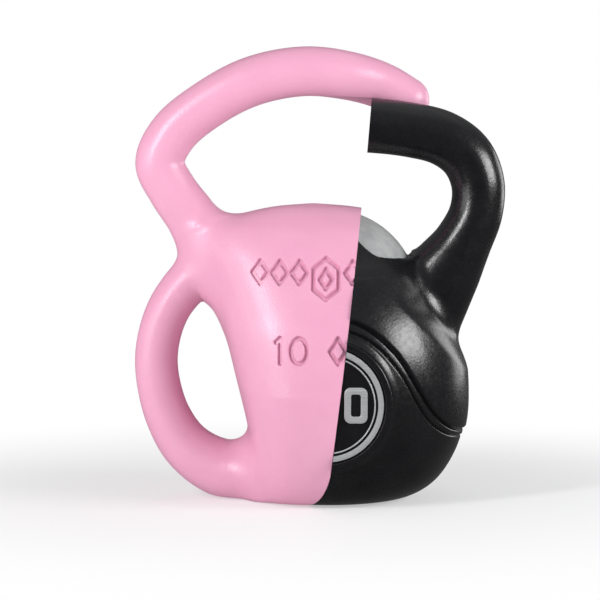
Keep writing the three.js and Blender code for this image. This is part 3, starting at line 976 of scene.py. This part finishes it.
make_pink_skin()
make_black_skin()
make_ballast()
make_loop_cap()
make_badge()
make_plugs()
steel = metal_finish("drawn_steel", (0.4, 0.41, 0.42), (0.52, 0.53, 0.54), 0.35, (400, 400, 400))
for node in ("arch_rod", "side_grip_rod", "loop_rod", "arch_tip_dowel"):
    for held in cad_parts[node].material_slots:
        held.material = steel


# ---- stage, light and camera ----
AIM = np.array([-0.0112, 0, 0.1142])
CAMERA_PLACE = (0.034, -1.795, 0.2555)
SENSOR_WIDTH = 36
LENS = 187.8
# Name, direction from the kettlebell, distance, (width, height), all in metres, and watts.
LIGHTS = [
    ("left_softbox", (-0.6, -0.66, 0.42), 1.2, (0.17, 0.6), 8.5),
    ("right_softbox", (0.89, -0.36, 0.33), 1.2, (0.64, 0.38), 10.5),
    ("rim_softbox", (0.75, 0.62, 0.05), 1.2, (0.5, 0.7), 3),
    ("left_fill", (-0.8, -0.5, 0.12), 1.3, (0.9, 0.6), 4.5),
    ("top_softbox", (0.1, 0.15, 1), 1.3, (1.2, 1.2), 1.0),
]
FLOOR_HALF = 30000
FLOOR_FADE = (0.13, 0.4)  # metres from the middle
LEAST_GLOW = 0.45  # share of white light in the floor near the kettlebell
FLOOR_IN_GLOSS = 0.12  # how bright the floor is to glossy surfaces
WORLD_LIGHT = (0.1, 0.36)  # from the horizon to straight up


def softbox(name, towards, distance, size, power):
    """A soft light that faces the kettlebell's middle."""
    made = bpy.data.objects.new(name, bpy.data.lights.new(name, "AREA"))
    made.data.shape = "RECTANGLE"
    made.data.size, made.data.size_y = size
    made.data.energy = power
    bpy.context.collection.objects.link(made)
    direction = np.array(towards, float)
    made.location = AIM + direction / np.linalg.norm(direction) * distance
    track = made.constraints.new("TRACK_TO")
    track.target = aim
    track.track_axis = "TRACK_NEGATIVE_Z"
    track.up_axis = "UP_Y"


aim = bpy.data.objects.new("aim", None)
aim.location = AIM
bpy.context.collection.objects.link(aim)

camera = bpy.data.objects.new("camera", bpy.data.cameras.new("camera"))
camera.location = CAMERA_PLACE
camera.data.sensor_width = SENSOR_WIDTH
camera.data.lens = LENS
facing = camera.constraints.new("TRACK_TO")
facing.target = aim
facing.track_axis = "TRACK_NEGATIVE_Z"
facing.up_axis = "UP_Y"
bpy.context.collection.objects.link(camera)
bpy.context.scene.camera = camera

for light in LIGHTS:
    softbox(*light)


def make_floor():
    """A pale floor that shades round the kettlebell and fades to the white of the surroundings."""
    half = FLOOR_HALF
    corners = [(-half, -half, 0), (half, -half, 0), (half, half, 0), (-half, half, 0)]
    floor = object_of("floor", corners, [(0, 1, 2, 3)])
    made = Finish("floor_white", (0.92, 0.92, 0.922), 0.6, specular=0.2)
    glow = made.nodes.new("ShaderNodeEmission")
    length = made.nodes.new("ShaderNodeVectorMath")
    length.operation = "LENGTH"
    made.links.new(made.place, length.inputs[0])
    spread = made.nodes.new("ShaderNodeMapRange")
    spread.interpolation_type = "SMOOTHSTEP"
    spread.inputs["From Min"].default_value, spread.inputs["From Max"].default_value = FLOOR_FADE
    spread.inputs["To Min"].default_value = LEAST_GLOW
    made.links.new(length.outputs["Value"], spread.inputs["Value"])
    mix = made.nodes.new("ShaderNodeMixShader")
    made.links.new(spread.outputs["Result"], mix.inputs["Fac"])
    made.links.new(made.shader.outputs["BSDF"], mix.inputs[1])
    made.links.new(glow.outputs["Emission"], mix.inputs[2])
    dim, path = made.nodes.new("ShaderNodeEmission"), made.nodes.new("ShaderNodeLightPath")
    dim.inputs["Strength"].default_value = FLOOR_IN_GLOSS
    choice = made.nodes.new("ShaderNodeMixShader")
    made.links.new(path.outputs["Is Glossy Ray"], choice.inputs["Fac"])
    made.links.new(mix.outputs["Shader"], choice.inputs[1])
    made.links.new(dim.outputs["Emission"], choice.inputs[2])
    made.links.new(choice.outputs["Shader"], made.nodes["Material Output"].inputs["Surface"])
    floor.data.materials.append(made.material)


def make_world():
    world = bpy.data.worlds.new("studio")
    world.use_nodes = True
    nodes, links = world.node_tree.nodes, world.node_tree.links
    seen, around = nodes["Background"], nodes.new("ShaderNodeBackground")
    seen.inputs["Color"].default_value = (1, 1, 1, 1)
    around.inputs["Color"].default_value = (0.97, 0.985, 1, 1)
    up, spread = nodes.new("ShaderNodeSeparateXYZ"), nodes.new("ShaderNodeMapRange")
    links.new(nodes.new("ShaderNodeTexCoord").outputs["Generated"], up.inputs["Vector"])
    spread.inputs["To Min"].default_value, spread.inputs["To Max"].default_value = WORLD_LIGHT
    links.new(up.outputs["Z"], spread.inputs["Value"])
    links.new(spread.outputs["Result"], around.inputs["Strength"])
    mix, path = nodes.new("ShaderNodeMixShader"), nodes.new("ShaderNodeLightPath")
    links.new(path.outputs["Is Camera Ray"], mix.inputs["Fac"])
    links.new(around.outputs["Background"], mix.inputs[1])
    links.new(seen.outputs["Background"], mix.inputs[2])
    links.new(mix.outputs["Shader"], nodes["World Output"].inputs["Surface"])
    bpy.context.scene.world = world


make_floor()
make_world()
bpy.context.scene.view_settings.view_transform = "Standard"
